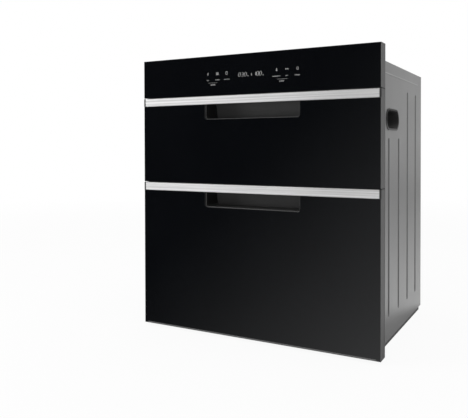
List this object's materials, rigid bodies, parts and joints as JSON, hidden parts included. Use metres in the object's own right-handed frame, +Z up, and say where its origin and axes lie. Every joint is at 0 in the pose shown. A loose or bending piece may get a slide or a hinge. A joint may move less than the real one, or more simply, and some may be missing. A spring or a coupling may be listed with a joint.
{
  "type": "dish sterilizer cabinet",
  "caption": "Built-in dish sterilizer cabinet with drawers one above the other, black glass fronts, brushed handle strips and a touch control panel.",
  "frame": {"origin": "middle of the bounding box on the surface that the feet stand on", "axes": "+Z up, -Y out of the glass front, +X to the right as seen from the front"},
  "size_m": [0.595, 0.47, 0.657],
  "materials": {
    "black_glass": "polished, printed black behind",
    "black_plastic": "fine texture",
    "black_rubber": "matt",
    "bright_wire": "electropolished",
    "brushed_aluminium": "brushed lengthways",
    "ceramic": "unglazed",
    "dark_magnet": "sintered",
    "green_board": "solder mask",
    "grey_casing": "satin grey coating",
    "grey_frame": "satin dark grey coating",
    "insulation": "mineral fibre board",
    "plain_aluminium": "mill finish",
    "quartz": "frosted quartz",
    "seal_rubber": "matt silicone",
    "stainless": "brushed",
    "zinc_steel": "zinc plated"
  },
  "bodies": {
    "cabinet": {"back_panel": "grey_casing", "back_screws": "zinc_steel", "base_pan": "grey_casing", "carry_handle_left": "black_plastic", "carry_handle_right": "black_plastic", "control_board": "green_board", "control_frame": "grey_frame", "control_glass": "black_glass", "cord_bushing": "black_plastic", "display_module": "black_plastic", "fan_housing": "black_plastic", "fan_motor": "zinc_steel", "front_flange": "grey_frame", "heater_guard": "stainless", "heating_tubes": "quartz", "insulation_boards": "insulation", "lamp_guard": "stainless", "lamp_holders": "ceramic", "lower_liner": "stainless", "lower_outer_rails": "zinc_steel", "ozone_generator": "black_plastic", "power_board": "green_board", "ptc_heater": "plain_aluminium", "reed_switches": "black_plastic", "rubber_feet": "black_rubber", "side_panel_left": "grey_casing", "side_panel_right": "grey_casing", "thermostats": "zinc_steel", "top_cover": "grey_casing", "tube_holders": "ceramic", "upper_liner": "stainless", "upper_outer_rails": "zinc_steel", "uv_lamp": "quartz"},
    "upper_drawer": {"upper_front_glass": "black_glass", "upper_handle_strip": "brushed_aluminium", "upper_strip_caps": "black_plastic", "upper_front_frame": "grey_frame", "upper_finger_cup": "black_plastic", "upper_inner_panel": "stainless", "upper_door_seal": "seal_rubber", "upper_magnet": "dark_magnet", "upper_side_plates": "stainless", "upper_inner_rails": "zinc_steel", "upper_basket": "bright_wire"},
    "lower_drawer": {"lower_front_glass": "black_glass", "lower_handle_strip": "brushed_aluminium", "lower_strip_caps": "black_plastic", "lower_front_frame": "grey_frame", "lower_finger_cup": "black_plastic", "lower_inner_panel": "stainless", "lower_door_seal": "seal_rubber", "lower_magnet": "dark_magnet", "lower_side_plates": "stainless", "lower_inner_rails": "zinc_steel", "lower_basket": "bright_wire", "plate_rack": "bright_wire"},
    "upper_slide_middle": {"upper_middle_rails": "zinc_steel"},
    "lower_slide_middle": {"lower_middle_rails": "zinc_steel"},
    "fan_rotor": {"fan_impeller": "plain_aluminium", "fan_shaft": "zinc_steel"}
  },
  "joints": [
    {"name": "upper_drawer_slide", "type": "slide", "parent": "cabinet", "child": "upper_drawer", "axis": [0, -1, 0], "range_m": [0, 0.34]},
    {"name": "lower_drawer_slide", "type": "slide", "parent": "cabinet", "child": "lower_drawer", "axis": [0, -1, 0], "range_m": [0, 0.34]},
    {"name": "upper_middle_slide", "type": "slide", "parent": "cabinet", "child": "upper_slide_middle", "axis": [0, -1, 0], "range_m": [0, 0.17]},
    {"name": "lower_middle_slide", "type": "slide", "parent": "cabinet", "child": "lower_slide_middle", "axis": [0, -1, 0], "range_m": [0, 0.17]},
    {"name": "fan_spin", "type": "hinge", "parent": "cabinet", "child": "fan_rotor", "pos_m": [0, 0.1856, 0.463], "axis": [0, 1, 0], "continuous": true}
  ],
  "couplings": [
    {"joint": "upper_middle_slide", "follows": "upper_drawer_slide", "ratio": 0.5},
    {"joint": "lower_middle_slide", "follows": "lower_drawer_slide", "ratio": 0.5}
  ]
}
